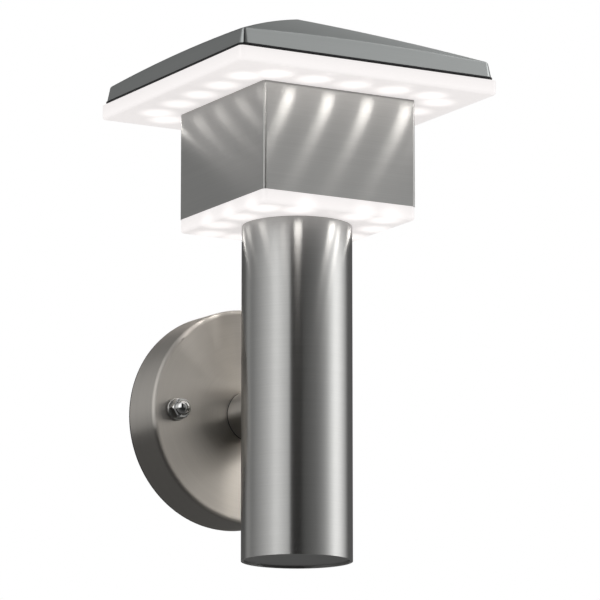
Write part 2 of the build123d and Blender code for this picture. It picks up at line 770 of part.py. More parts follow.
with BuildPart() as weld_nuts:
    with BuildSketch(level(strap_top)):
        with Locations((-tie_offset, 0), (tie_offset, 0)):
            hexagon_ring(weld_nut_flats, tie_radius)
    extrude(amount=weld_nut_height)
weld_nuts.part.label = "weld_nuts"
export_step(weld_nuts.part, "parts/weld_nuts.step")

# ---- Cables inside the light ---------------------------------------------


def cable(points, radii, radius):
    """Round cable along straight runs and tangent bends, drawn in the open part."""
    with BuildLine():
        route = FilletPolyline(*points, radius=radii)
    with BuildSketch(Plane(origin=route @ 0, z_dir=route % 0)) as cable_section:
        Circle(radius)
    sweep(cable_section.sketch, path=route)


# Mains cable: from the terminal block, through the arm and up the tube to the driver.
driver_entry = driver_base + supply_entry_height
driver_back = tube_y + driver_y + driver_depth / 2
with BuildPart() as supply_cable:
    cable(
        [
            (0, -supply_distance, block_top),
            (0, -supply_distance, 0),
            (0, tube_y, 0),
            (0, tube_y, driver_entry - arm_height),
            (0, driver_back, driver_entry - arm_height),
        ],
        [7.5, 15.0, 8.0],
        supply_radius,
    )
supply_cable.part.label = "supply_cable"
export_step(supply_cable.part, "parts/supply_cable.step")

# Lead to the upper board.
upper_lead_level = upper_board_base - plug_height / 2
with BuildPart() as upper_led_lead:
    cable(
        [
            (lead_x, tube_y + driver_y, driver_base + driver_height - arm_height),
            (lead_x, tube_y + driver_y, upper_lead_level - arm_height),
            (lead_x, tube_y - upper_board_opening, upper_lead_level - arm_height),
        ],
        [7.0],
        lead_radius,
    )
upper_led_lead.part.label = "upper_led_lead"
export_step(upper_led_lead.part, "parts/upper_led_lead.step")

# Lead to the lower board, through the base plate.
lower_lead_level = driver_base + lower_lead_exit_height
with BuildPart() as lower_led_lead:
    cable(
        [
            (driver_width / 2, tube_y + led_lead_y, lower_lead_level - arm_height),
            (led_lead_x, tube_y + led_lead_y, lower_lead_level - arm_height),
            (led_lead_x, tube_y + led_lead_y, tube_height - arm_height),
        ],
        [6.0],
        lead_radius,
    )
lower_led_lead.part.label = "lower_led_lead"
export_step(lower_led_lead.part, "parts/lower_led_lead.step")

# Earth wire from the block to the screw on the bracket.
earth_wire_gap = 0.4
screw_distance = bracket_sheet + earth_wire_radius + earth_wire_gap
block_distance = block_back + 2 * earth_wire_radius
with BuildPart() as earth_wire:
    cable(
        [
            (earth_x, -block_distance, block_top),
            (earth_x, -block_distance, earth_turn),
            (earth_x, -screw_distance, earth_turn),
            (earth_x, -screw_distance, -earth_screw_radius),
        ],
        [3.5, 3.5],
        earth_wire_radius,
    )
earth_wire.part.label = "earth_wire"
export_step(earth_wire.part, "parts/earth_wire.step")
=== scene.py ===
import math

import bpy
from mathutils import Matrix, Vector


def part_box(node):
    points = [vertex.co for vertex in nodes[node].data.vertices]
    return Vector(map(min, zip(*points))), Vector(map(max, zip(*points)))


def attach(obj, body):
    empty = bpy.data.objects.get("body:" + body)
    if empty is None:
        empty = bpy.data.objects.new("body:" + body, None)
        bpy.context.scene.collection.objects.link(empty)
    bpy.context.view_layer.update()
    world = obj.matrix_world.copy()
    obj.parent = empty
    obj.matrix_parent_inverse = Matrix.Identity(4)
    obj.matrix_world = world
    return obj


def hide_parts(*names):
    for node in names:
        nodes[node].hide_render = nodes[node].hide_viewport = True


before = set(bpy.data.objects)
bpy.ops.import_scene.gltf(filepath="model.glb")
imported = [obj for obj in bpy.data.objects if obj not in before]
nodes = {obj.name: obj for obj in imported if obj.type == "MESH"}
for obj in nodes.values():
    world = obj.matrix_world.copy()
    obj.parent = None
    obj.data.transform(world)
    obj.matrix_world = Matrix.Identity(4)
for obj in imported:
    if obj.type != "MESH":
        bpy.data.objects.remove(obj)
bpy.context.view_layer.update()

scene = bpy.context.scene
scene.view_settings.view_transform = "Standard"


# ---- The photograph's view and its studio --------------------------------------------------------
# The light is seen from the front left and from below, so the lens looks up. The camera has no shift. Its
# place is a distance from the middle of the tube's lower end, a hair to the right of it and well below.
tube_low, tube_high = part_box("main_tube")
tube_axis = Vector(((tube_low.x + tube_high.x) / 2, (tube_low.y + tube_high.y) / 2, tube_low.z))
picture_pixels = 600
focal_pixels = 4340.9
camera_turn = math.radians(-29.822)
camera_pitch = math.radians(11.037)
camera_distance = 2.3028
camera_right = 0.00165
camera_drop = 0.3069

forward_level = Vector((-math.sin(camera_turn), math.cos(camera_turn), 0))
sideways = Vector((math.cos(camera_turn), math.sin(camera_turn), 0))
camera_data = bpy.data.cameras.new("photo_lens")
camera_data.sensor_width = 36
camera_data.lens = camera_data.sensor_width * focal_pixels / picture_pixels
camera = bpy.data.objects.new("photo_camera", camera_data)
scene.collection.objects.link(camera)
camera.location = (
    tube_axis - forward_level * camera_distance + sideways * camera_right - Vector((0, 0, camera_drop))
)
looking = forward_level * math.cos(camera_pitch) + Vector((0, 0, math.sin(camera_pitch)))
camera.rotation_mode = "QUATERNION"
camera.rotation_quaternion = looking.to_track_quat("-Z", "Y")
scene.camera = camera


def colour(hex_code, alpha=1.0):
    """Linear colour of an sRGB hex value."""
    parts = [int(hex_code[i : i + 2], 16) / 255 for i in (1, 3, 5)]
    linear = [c / 12.92 if c <= 0.04045 else ((c + 0.055) / 1.055) ** 2.4 for c in parts]
    return (*linear, alpha)


def add(tree, kind, inputs=None, **settings):
    """Adds a node: settings are its own properties, inputs are values or the sockets linked to them."""
    node = tree.nodes.new(kind)
    for name, value in settings.items():
        setattr(node, name, value)
    for name, value in (inputs or {}).items():
        if isinstance(value, bpy.types.NodeSocket):
            tree.links.new(value, node.inputs[name])
        else:
            node.inputs[name].default_value = value
    return node


def ramp_stops(node, stops):
    """Sets a colour ramp's stops from (place, grey) pairs."""
    elements = node.color_ramp.elements
    while len(elements) > 1:
        elements.remove(elements[-1])
    elements[0].position = stops[0][0]
    elements[0].color = (*[stops[0][1]] * 3, 1)
    for place, grey in stops[1:]:
        elements.new(place).color = (grey, grey, grey, 1)


# What the metal mirrors is a dark room with a lit sheet at the left and one at the right, and a black
# flag between them where the camera stands. Angles are degrees from the wall's outward direction,
# positive to the right.
studio_sheets = [
    (-180, 0.1),
    (-165, 0.12),
    (-157, 0.35),
    (-150, 0.42),
    (-138, 0.25),
    (-112, 0.6),
    (-92, 1.0),
    (-75, 1.55),
    (-60, 1.2),
    (-44.5, 0.8),
    (-43.5, 0.01),
    (-23, 0.01),
    (-14, 0.12),
    (12, 0.25),
    (28, 0.45),
    (38, 0.75),
    (58, 2.1),
    (72, 1.7),
    (100, 0.14),
    (130, 0.1),
    (180, 0.1),
]
brightest_sheet = max(level for angle, level in studio_sheets)
sheet_strength = 2.0

# Each sheet is dark near the ground and brightest a little above level. Heights are shares of the way from
# straight down to straight up.
studio_heights = [
    (0.0, 0.05),
    (0.42, 0.2),
    (0.5, 0.45),
    (0.6, 0.6),
    (0.75, 0.6),
    (0.85, 0.5),
    (0.93, 0.36),
    (1.0, 0.36),
]

# The camera itself sees a white backdrop, and matt surfaces such as rubber and foam get plain light.
plain_strength = 0.75
backdrop_strength = 1.0
world = bpy.data.worlds.new("studio")
scene.world = world
world.use_nodes = True
tree = world.node_tree
tree.nodes.clear()
direction = add(tree, "ShaderNodeTexCoord")
parts = add(tree, "ShaderNodeSeparateXYZ", {"Vector": direction.outputs["Generated"]})
to_the_front = add(tree, "ShaderNodeMath", {0: parts.outputs["Y"], 1: -1.0}, operation="MULTIPLY")
turn = add(
    tree,
    "ShaderNodeMath",
    {0: parts.outputs["X"], 1: to_the_front.outputs[0]},
    operation="ARCTAN2",
)
turn_share = add(
    tree,
    "ShaderNodeMapRange",
    {"Value": turn.outputs[0], "From Min": -math.pi, "From Max": math.pi, "To Min": 0.0, "To Max": 1.0},
)
sheets = add(tree, "ShaderNodeValToRGB", {"Fac": turn_share.outputs["Result"]})
ramp_stops(sheets, [((angle + 180) / 360, level / brightest_sheet) for angle, level in studio_sheets])
height_share = add(
    tree,
    "ShaderNodeMapRange",
    {"Value": parts.outputs["Z"], "From Min": -1.0, "From Max": 1.0, "To Min": 0.0, "To Max": 1.0},
)
heights = add(tree, "ShaderNodeValToRGB", {"Fac": height_share.outputs["Result"]})
ramp_stops(heights, studio_heights)
mirrored = add(
    tree,
    "ShaderNodeMix",
    {"Factor": 1.0, 6: sheets.outputs["Color"], 7: heights.outputs["Color"]},
    data_type="RGBA",
    blend_type="MULTIPLY",
)
studio_light = add(
    tree,
    "ShaderNodeBackground",
    {"Color": mirrored.outputs[2], "Strength": brightest_sheet * sheet_strength},
)
plain_light = add(
    tree,
    "ShaderNodeBackground",
    {"Color": colour("#ffffff"), "Strength": plain_strength},
)
white_backdrop = add(
    tree,
    "ShaderNodeBackground",
    {"Color": colour("#ffffff"), "Strength": backdrop_strength},
)
ray = add(tree, "ShaderNodeLightPath")
seen_by_metal = add(
    tree,
    "ShaderNodeMixShader",
    {0: ray.outputs["Is Glossy Ray"], 1: plain_light.outputs[0], 2: studio_light.outputs[0]},
)
seen_at_all = add(
    tree,
    "ShaderNodeMixShader",
    {0: ray.outputs["Is Camera Ray"], 1: seen_by_metal.outputs[0], 2: white_backdrop.outputs[0]},
)
add(tree, "ShaderNodeOutputWorld", {"Surface": seen_at_all.outputs[0]})

# The floor far below the light, pale and matt, with the light's shadow on it. Glossy rays see it in a
# painted grey, darker in front of the wall than behind, a painted reflection. From below it can't be seen.
floor_drop = 0.45
floor_side = 12
floor_dark_up_to = -0.6
floor_paler_until = 0.4
bpy.ops.object.select_all(action="DESELECT")
bpy.ops.mesh.primitive_plane_add(size=floor_side, location=(0, 0, tube_axis.z - floor_drop))
floor = bpy.context.object
floor.name = "floor"
paper = bpy.data.materials.new("pale_paper")
paper.use_nodes = True
tree = paper.node_tree
tree.nodes.clear()
place = add(tree, "ShaderNodeTexCoord").outputs["Object"]
floor_place = add(tree, "ShaderNodeSeparateXYZ", {"Vector": place})
behind = add(
    tree,
    "ShaderNodeMapRange",
    {"Value": floor_place.outputs["Y"], "From Min": floor_dark_up_to, "From Max": floor_paler_until},
)
painted_floor_reflection = add(
    tree,
    "ShaderNodeMix",
    {"Factor": behind.outputs["Result"], 6: colour("#303030"), 7: colour("#7c7c7c")},
    data_type="RGBA",
)
ray = add(tree, "ShaderNodeLightPath")
# Glossy rays get the painted reflection grey; the camera and matt light see the pale paper.
paper_colour = add(
    tree,
    "ShaderNodeMix",
    {"Factor": ray.outputs["Is Glossy Ray"], 6: colour("#f4f4f4"), 7: painted_floor_reflection.outputs[2]},
    data_type="RGBA",
)
paper_surface = add(
    tree,
    "ShaderNodeBsdfPrincipled",
    {"Base Color": paper_colour.outputs[2], "Roughness": 0.9, "Specular IOR Level": 0.1},
)
see_through = add(tree, "ShaderNodeBsdfTransparent")
from_below = add(tree, "ShaderNodeNewGeometry").outputs["Backfacing"]
one_sided = add(
    tree,
    "ShaderNodeMixShader",
    {0: from_below, 1: paper_surface.outputs[0], 2: see_through.outputs[0]},
)
add(tree, "ShaderNodeOutputMaterial", {"Surface": one_sided.outputs[0]})
floor.data.materials.append(paper)


# ---- Wall bracket, its studs and the other plated steel ------------------------------------------
# Pressed and turned mild steel, barrel-plated with zinc after it was cut. The plating is a dull, slightly
# blue metal with a fine crystal mottle a millimetre or two across. The studs are pressed into the bar.
def new_material(name):
    """An empty node material and its tree."""
    material = bpy.data.materials.new(name)
    material.use_nodes = True
    material.node_tree.nodes.clear()
    return material, material.node_tree


def close_material(tree, shader_inputs):
    """Ends a material in one Principled surface."""
    shader = add(tree, "ShaderNodeBsdfPrincipled", shader_inputs)
    add(tree, "ShaderNodeOutputMaterial", {"Surface": shader.outputs[0]})


def between(tree, value, low, high):
    """A noise value's middle part, from 0.3 to 0.7, stretched between two numbers."""
    stretched = add(
        tree,
        "ShaderNodeMapRange",
        {"Value": value, "From Min": 0.3, "From Max": 0.7, "To Min": low, "To Max": high},
    )
    return stretched.outputs["Result"]


def tinted(tree, hex_code, strength):
    """A colour made lighter and darker by a value round one."""
    scaled = add(
        tree,
        "ShaderNodeVectorMath",
        {0: colour(hex_code)[:3], "Scale": strength},
        operation="SCALE",
    )
    return scaled.outputs[0]


def noise(tree, place, grain, detail=2.0, stretch=(1, 1, 1)):
    """Noise whose grain is a real size in metres, drawn out along an axis where asked."""
    scale = [1 / (grain * longer) for longer in stretch]
    mapped = add(tree, "ShaderNodeMapping", {"Vector": place, "Scale": scale})
    pattern = add(
        tree,
        "ShaderNodeTexNoise",
        {"Vector": mapped.outputs[0], "Scale": 1.0, "Detail": detail},
    )
    return pattern.outputs["Fac"]


def finish_nodes(material, *names):
    """Gives carried-over CAD nodes their finish."""
    for name in names:
        nodes[name].data.materials.clear()
        nodes[name].data.materials.append(material)


zinc, tree = new_material("zinc_plated_steel")
crystal_size = 0.0016
place = add(tree, "ShaderNodeTexCoord").outputs["Object"]
crystals = add(tree, "ShaderNodeTexVoronoi", {"Vector": place, "Scale": 1 / crystal_size})
mottle = add(tree, "ShaderNodeSeparateColor", {"Color": crystals.outputs["Color"]}).outputs["Red"]
cloud = noise(tree, place, 0.006)
tone = add(
    tree,
    "ShaderNodeMath",
    {0: between(tree, mottle, 0.95, 1.04), 1: between(tree, cloud, 0.94, 1.05)},
    operation="MULTIPLY",
)
dents = add(tree, "ShaderNodeBump", {"Height": mottle, "Strength": 0.1, "Distance": 0.00003})
close_material(
    tree,
    {
        "Base Color": tinted(tree, "#b4b8bd", tone.outputs[0]),
        "Metallic": 1.0,
        "Roughness": between(tree, mottle, 0.34, 0.46),
        "Normal": dents.outputs[0],
    },
)
finish_nodes(zinc, "wall_bracket", "bracket_studs")

# The earth screw in the bar and the terminal block's screws are turned brass, left bare and slightly
# browned in patches.
brass, tree = new_material("turned_brass")
place = add(tree, "ShaderNodeTexCoord").outputs["Object"]
tarnish = noise(tree, place, 0.0025)
close_material(
    tree,
    {
        "Base Color": tinted(tree, "#cda658", between(tree, tarnish, 0.85, 1.05)),
        "Metallic": 1.0,
        "Roughness": between(tree, tarnish, 0.24, 0.36),
    },
)
finish_nodes(brass, "earth_screw", "terminal_screws")

# ---- Foam gasket and rubber seals ----------------------------------------------------------------
# The gasket is foam rubber punched from sheet, matt black, with cells of about half a millimetre cut open
# at its faces, each pit painted darker as painted shade. The small seals under the washers, the arm
# and the roof are moulded black rubber.
foam, tree = new_material("black_foam_rubber")
cell_size = 0.0006
place = add(tree, "ShaderNodeTexCoord").outputs["Object"]
cells = add(tree, "ShaderNodeTexVoronoi", {"Vector": place, "Scale": 1 / cell_size})
pits = add(
    tree,
    "ShaderNodeBump",
    {"Height": cells.outputs["Distance"], "Strength": 0.6, "Distance": 0.0002},
)
# The colour is darker down in each cell's pit, where the bump sinks: painted shade.
close_material(
    tree,
    {
        "Base Color": tinted(tree, "#262627", between(tree, cells.outputs["Distance"], 0.6, 1.2)),
        "Roughness": 0.9,
        "Normal": pits.outputs[0],
    },
)
finish_nodes(foam, "wall_gasket")

rubber, tree = new_material("moulded_black_rubber")
place = add(tree, "ShaderNodeTexCoord").outputs["Object"]
grain = noise(tree, place, 0.0005)
close_material(
    tree,
    {
        "Base Color": tinted(tree, "#1c1c1d", between(tree, grain, 0.85, 1.15)),
        "Roughness": between(tree, grain, 0.5, 0.62),
        "Specular IOR Level": 0.35,
    },
)
finish_nodes(rubber, "stud_seals", "arm_seal", "roof_seal")

# ---- Terminal block ------------------------------------------------------------------------------
# Moulded in natural nylon and fixed to the inside of the plate. The plastic is milky, a little yellow,
# and slightly uneven where it flowed into the mould.
nylon, tree = new_material("moulded_natural_nylon")
place = add(tree, "ShaderNodeTexCoord").outputs["Object"]
flow = noise(tree, place, 0.004)
close_material(
    tree,
    {
        "Base Color": tinted(tree, "#e3ddcb", between(tree, flow, 0.93, 1.03)),
        "Roughness": between(tree, flow, 0.38, 0.5),
        "IOR": 1.53,
    },
)
finish_nodes(nylon, "terminal_block")


# ---- Wall plate and stub arm ---------------------------------------------------------------------
# Brushed stainless steel, spun from sheet (the plate) and cut from tube (the arm). Both are finished with
# an abrasive belt while they turn, so the lines are rings and a highlight fans out from the middle.
# The real lines are about 0.1 mm apart, too fine for the picture, so they are drawn 0.4 mm apart.
line_spacing = 0.0004
line_stretch = 90
ring_stretch = 1600
band_spacing = 8 * line_spacing


def brushed_steel(name, lines, middle=(0, 0, 0), roughness=0.32, steel="#c9c9c7"):
    """Lines run level round the piece, lengthways along X, or turned in rings round the Y axis."""
    material, tree = new_material(name)
    place = add(tree, "ShaderNodeTexCoord").outputs["Object"]
    centred = add(
        tree,
        "ShaderNodeVectorMath",
        {0: place, 1: middle},
        operation="SUBTRACT",
    ).outputs[0]
    if lines == "turned":
        # A ring's noise is laid out by radius, depth and angle, so its stretch is for an angle in radians.
        surface = add(tree, "ShaderNodeNewGeometry").outputs["True Normal"]
        ring = add(
            tree,
            "ShaderNodeVectorMath",
            {0: (0, 1, 0), 1: centred},
            operation="CROSS_PRODUCT",
        ).outputs[0]
        across = add(
            tree,
            "ShaderNodeVectorMath",
            {0: surface, 1: ring},
            operation="CROSS_PRODUCT",
        ).outputs[0]
        flat = add(tree, "ShaderNodeSeparateXYZ", {"Vector": centred})
        radial = add(
            tree,
            "ShaderNodeCombineXYZ",
            {"X": flat.outputs["X"], "Y": 0.0, "Z": flat.outputs["Z"]},
        )
        radius = add(
            tree,
            "ShaderNodeVectorMath",
            {0: radial.outputs[0]},
            operation="LENGTH",
        ).outputs["Value"]
        angle = add(
            tree,
            "ShaderNodeMath",
            {0: flat.outputs["X"], 1: flat.outputs["Z"]},
            operation="ARCTAN2",
        )
        lined_place = add(
            tree,
            "ShaderNodeCombineXYZ",
            {"X": radius, "Y": flat.outputs["Y"], "Z": angle.outputs[0]},
        ).outputs[0]
        stretch = (1, 1, ring_stretch)
    elif lines == "level":
        across = add(tree, "ShaderNodeCombineXYZ", {"X": 0.0, "Y": 0.0, "Z": 1.0}).outputs[0]
        lined_place = centred
        stretch = (line_stretch, line_stretch, 1)
    else:
        across = add(tree, "ShaderNodeCombineXYZ", {"X": 0.0, "Y": 1.0, "Z": 0.0}).outputs[0]
        lined_place = centred
        stretch = (line_stretch, 1, line_stretch)
    scratches = noise(tree, lined_place, line_spacing, detail=3.0, stretch=stretch)
    bands = noise(tree, lined_place, band_spacing, detail=2.0, stretch=stretch)
    tone = add(
        tree,
        "ShaderNodeMath",
        {0: between(tree, scratches, 0.965, 1.03), 1: between(tree, bands, 0.985, 1.015)},
        operation="MULTIPLY",
    )
    relief = add(tree, "ShaderNodeBump", {"Height": scratches, "Strength": 0.12, "Distance": 0.00001})
    close_material(
        tree,
        {
            "Base Color": tinted(tree, steel, tone.outputs[0]),
            "Metallic": 1.0,
            "Roughness": between(tree, scratches, roughness - 0.02, roughness + 0.03),
            "Anisotropic": 1.0,
            "Tangent": across,
            "Normal": relief.outputs[0],
        },
    )
    return material


# The plate and arm get a darker steel colour than the tube, a painted shade that dims what they mirror.
darkened_ringed_steel = brushed_steel("stainless_brushed_in_rings", "turned", steel="#bcb8b2")
finish_nodes(darkened_ringed_steel, "wall_plate", "stub_arm")

# ---- Dome nuts and washers -----------------------------------------------------------------------
# The two dome nuts are cold-formed from stainless bar and tumbled bright, and hold the plate on the
# bracket's studs: a hexagon with its corners turned off, a small dome, and a bore for the stud. The
# washers under them are punched from sheet and left satin.
bright_steel, tree = new_material("tumbled_bright_stainless")
place = add(tree, "ShaderNodeTexCoord").outputs["Object"]
marks = noise(tree, place, 0.0007)
close_material(
    tree,
    {
        "Base Color": tinted(tree, "#d6d6d5", between(tree, marks, 0.94, 1.02)),
        "Metallic": 1.0,
        "Roughness": between(tree, marks, 0.08, 0.14),
    },
)

satin_steel, tree = new_material("punched_satin_stainless")
place = add(tree, "ShaderNodeTexCoord").outputs["Object"]
rolled = noise(tree, place, 0.0005)
close_material(
    tree,
    {
        "Base Color": tinted(tree, "#c4c3c0", between(tree, rolled, 0.96, 1.03)),
        "Metallic": 1.0,
        "Roughness": between(tree, rolled, 0.32, 0.4),
    },
)
finish_nodes(satin_steel, "stud_washers")

nuts_low, nuts_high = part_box("dome_nuts")
studs_low, studs_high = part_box("bracket_studs")
nut_seat = nuts_high.y
nut_flats = nuts_high.z - nuts_low.z
nut_corner_radius = nut_flats / 2 / math.cos(math.radians(30))
nut_blank_radius = 0.995 * nut_corner_radius
nut_blank_chamfer = 0.0006
nut_edge_break = 0.00015
nut_hexagon = 0.0052
nut_dome_radius = 0.0041
nut_dome_proud = 0.0002
nut_x = nuts_high.x - nut_corner_radius
hexagon_middle = (nut_x, nut_seat - nut_hexagon / 2, 0)
dome_middle = (nut_x, nut_seat - nut_hexagon - nut_dome_proud, 0)
stud_radius = (studs_high.z - studs_low.z) / 2
facing_the_wall = (math.radians(90), 0, 0)


def cut_with(piece, tool, operation):
    """Joins, cuts or trims a piece with another solid, which is used up."""
    knife = piece.modifiers.new("cut", "BOOLEAN")
    knife.object = tool
    knife.operation = operation
    knife.solver = "EXACT"
    bpy.context.view_layer.objects.active = piece
    bpy.ops.object.modifier_apply(modifier=knife.name)
    bpy.data.objects.remove(tool)


def bevelled(piece, width, segments, angle=30):
    """Breaks a piece's edges that are sharper than an angle."""
    rounding = piece.modifiers.new("edge", "BEVEL")
    rounding.width = width
    rounding.segments = segments
    rounding.limit_method = "ANGLE"
    rounding.angle_limit = math.radians(angle)
    bpy.context.view_layer.objects.active = piece
    bpy.ops.object.modifier_apply(modifier=rounding.name)


bpy.ops.object.select_all(action="DESELECT")
bpy.ops.mesh.primitive_cylinder_add(
    vertices=6,
    radius=nut_corner_radius,
    depth=nut_hexagon,
    location=hexagon_middle,
    rotation=(math.radians(90), math.radians(30), 0),
)
right_nut = bpy.context.object
right_nut.name = "right_dome_nut"
bpy.ops.mesh.primitive_cylinder_add(
    vertices=72,
    radius=nut_blank_radius,
    depth=nut_hexagon,
    location=hexagon_middle,
    rotation=facing_the_wall,
)
turned_blank = bpy.context.object
bevelled(turned_blank, nut_blank_chamfer, 1)
cut_with(right_nut, turned_blank, "INTERSECT")
bpy.ops.mesh.primitive_uv_sphere_add(
    segments=48,
    ring_count=24,
    radius=nut_dome_radius,
    location=dome_middle,
    rotation=facing_the_wall,
)
dome = bpy.context.object
cut_with(right_nut, dome, "UNION")
bevelled(right_nut, nut_edge_break, 2)
bpy.ops.mesh.primitive_cylinder_add(
    vertices=48,
    radius=stud_radius,
    depth=2 * (nut_seat - studs_low.y),
    location=(nut_x, nut_seat, 0),
    rotation=facing_the_wall,
)
stud_bore = bpy.context.object
cut_with(right_nut, stud_bore, "DIFFERENCE")
bpy.ops.object.select_all(action="DESELECT")
right_nut.select_set(True)
bpy.context.view_layer.objects.active = right_nut
bpy.ops.object.transform_apply(location=True, rotation=True, scale=True)
bpy.ops.object.shade_smooth_by_angle(angle=math.radians(28))
right_nut.data.materials.clear()
right_nut.data.materials.append(bright_steel)
bpy.ops.object.duplicate()
left_nut = bpy.context.object
left_nut.name = "left_dome_nut"
bpy.ops.transform.translate(value=(-2 * nut_x, 0, 0))
bpy.ops.object.transform_apply(location=True, rotation=True, scale=True)
for nut in (right_nut, left_nut):
    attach(nut, "root")
    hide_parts("dome_nuts")

# ---- Hollow bolt of the arm ----------------------------------------------------------------------
# A threaded steel tube with a nut at each end clamps the plate, the arm and the upright tube together and
# lets the cable through. A curved pad under the inner nut fits the round of the tube. All are zinc-plated.
finish_nodes(zinc, "arm_nipple", "arm_plate_nut", "arm_tube_nut", "arm_washer", "arm_saddle")

# ---- Upright tube and its end cap ----------------------------------------------------------------
# Stainless tube, belt-ground while it turns, so its fine lines run level round it and its highlights are
# upright bands. The pressed cap in its lower end is brushed straight across. A plated bar across the
# tube's top and a hollow bolt through it hold the head.
level_steel = brushed_steel("stainless_brushed_level", "level", tube_axis)
straight_steel = brushed_steel("stainless_brushed_straight", "lengthways", tube_axis)
finish_nodes(level_steel, "main_tube")
finish_nodes(straight_steel, "tube_end_cap")
finish_nodes(zinc, "tube_bridge", "tube_nipple", "tube_lower_nut", "tube_upper_nut", "tube_upper_washer")

# ---- Head box and what it holds ------------------------------------------------------------------
# A square sleeve folded from brushed stainless sheet with its lines level, over a plated base plate.
# Inside stand two spacers with long tie screws, and the LED driver on its silicone pad. The driver's case
# and the board's plug are moulded plastic with a fine spark-eroded grain.
box_steel = brushed_steel("stainless_brushed_box", "level", tube_axis, roughness=0.38)
finish_nodes(box_steel, "head_box")
finish_nodes(zinc, "base_plate", "head_spacers", "tie_screws")

driver_case, tree = new_material("moulded_white_abs")
place = add(tree, "ShaderNodeTexCoord").outputs["Object"]
spark_grain = noise(tree, place, 0.0004)
grained = add(tree, "ShaderNodeBump", {"Height": spark_grain, "Strength": 0.25, "Distance": 0.00005})
close_material(
    tree,
    {
        "Base Color": tinted(tree, "#e4e4e1", between(tree, spark_grain, 0.97, 1.02)),
        "Roughness": 0.5,
        "IOR": 1.54,
        "Normal": grained.outputs[0],
    },
)
finish_nodes(driver_case, "led_driver", "board_plug")

silicone, tree = new_material("milky_silicone_sheet")
place = add(tree, "ShaderNodeTexCoord").outputs["Object"]
haze = noise(tree, place, 0.003)
close_material(
    tree,
    {
        "Base Color": tinted(tree, "#cbced0", between(tree, haze, 0.94, 1.04)),
        "Roughness": between(tree, haze, 0.4, 0.5),
        "IOR": 1.41,
    },
)
finish_nodes(silicone, "driver_pad")

# ---- Carrier plate, LED boards and LEDs ----------------------------------------------------------
# The carrier is mill-finished aluminium sheet with rolling lines. The boards are glass fibre under white
# solder mask, with faint copper tracks 2 mm apart. Each LED is a white package with a yellow window on
# the side that faces down.
aluminium, tree = new_material("mill_finish_aluminium")
place = add(tree, "ShaderNodeTexCoord").outputs["Object"]
rolling = noise(tree, place, 0.0004, stretch=(1, 120, 1))
close_material(
    tree,
    {
        "Base Color": tinted(tree, "#c8cacc", between(tree, rolling, 0.95, 1.03)),
        "Metallic": 1.0,
        "Roughness": between(tree, rolling, 0.28, 0.38),
    },
)
finish_nodes(aluminium, "carrier_plate")

solder_mask, tree = new_material("white_solder_mask")
place = add(tree, "ShaderNodeTexCoord").outputs["Object"]
tracks = add(
    tree,
    "ShaderNodeTexBrick",
    {
        "Vector": place,
        "Scale": 1.0,
        "Mortar Size": 0.0003,
        "Mortar Smooth": 0.4,
        "Brick Width": 0.0143,
        "Row Height": 0.002,
    },
)
raised = add(
    tree,
    "ShaderNodeBump",
    {"Height": tracks.outputs["Fac"], "Strength": 0.3, "Distance": 0.00004},
)
track_tone = add(
    tree,
    "ShaderNodeMapRange",
    {"Value": tracks.outputs["Fac"], "To Min": 1.0, "To Max": 0.93},
)
close_material(
    tree,
    {
        "Base Color": tinted(tree, "#e9eae6", track_tone.outputs["Result"]),
        "Roughness": 0.42,
        "Normal": raised.outputs[0],
    },
)
finish_nodes(solder_mask, "upper_led_board", "lower_led_board")

led_package, tree = new_material("led_package_with_phosphor")
surface = add(tree, "ShaderNodeNewGeometry").outputs["True Normal"]
facing = add(tree, "ShaderNodeSeparateXYZ", {"Vector": surface})
window = add(tree, "ShaderNodeMath", {0: facing.outputs["Z"], 1: -0.5}, operation="LESS_THAN")
package_colour = add(
    tree,
    "ShaderNodeMix",
    {"Factor": window.outputs[0], 6: colour("#efeee8"), 7: colour("#f0dc7a")},
    data_type="RGBA",
)
close_material(tree, {"Base Color": package_colour.outputs[2], "Roughness": 0.3, "IOR": 1.5})
finish_nodes(led_package, "upper_leds", "lower_leds")


# ---- The two opal trays --------------------------------------------------------------------------
# Trays of opal acrylic, moulded with a satin surface and lit from inside. The sheet glows evenly, with a
# soft brighter spot below each LED, and its rim is a little dimmer towards the roof or the box.
spot_core = 0.003
spot_edge = 0.014
spot_glow = 0.26
underside_glow = 0.52
top_edge_glow = 0.42
rim_start = 0.0005


def led_places(ring, rows):
    """Places round the tube of LEDs in rows along a square's sides; opposite sides are alike."""
    places = []
    for side in range(4):
        turned = math.radians(90 * side)
        for along in rows[side % 2]:
            led_x = -ring * math.cos(turned) - along * math.sin(turned)
            led_y = -ring * math.sin(turned) + along * math.cos(turned)
            places.append((led_x, led_y))
    return places


